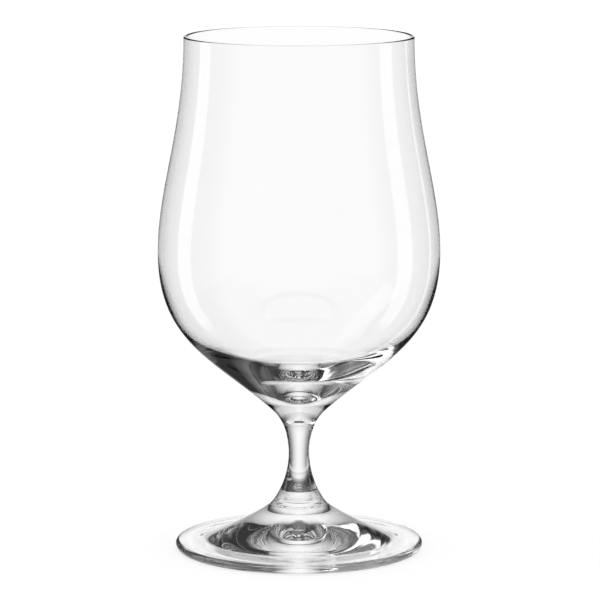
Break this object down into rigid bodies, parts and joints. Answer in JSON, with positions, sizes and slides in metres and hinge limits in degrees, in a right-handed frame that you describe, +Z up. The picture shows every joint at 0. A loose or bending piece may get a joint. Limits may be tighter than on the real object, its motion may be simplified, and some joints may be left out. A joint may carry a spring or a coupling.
{
  "type": "stemmed water glass",
  "caption": "Clear stemmed water glass: a tulip bowl with a thin rounded rim, drawn in to a short waisted stem on a round spreading foot.",
  "frame": {"origin": "centre of the foot's resting ring, on the table", "axes": "+Z up the axis that the glass is turned about, towards the rim; X and Y are alike"},
  "size_m": [0.0846, 0.0846, 0.155],
  "materials": {
    "clear_glass": "clear soda-lime glass, fire-polished"
  },
  "bodies": {
    "root": {"bowl": "clear_glass", "stem": "clear_glass", "foot": "clear_glass"}
  },
  "joints": []
}
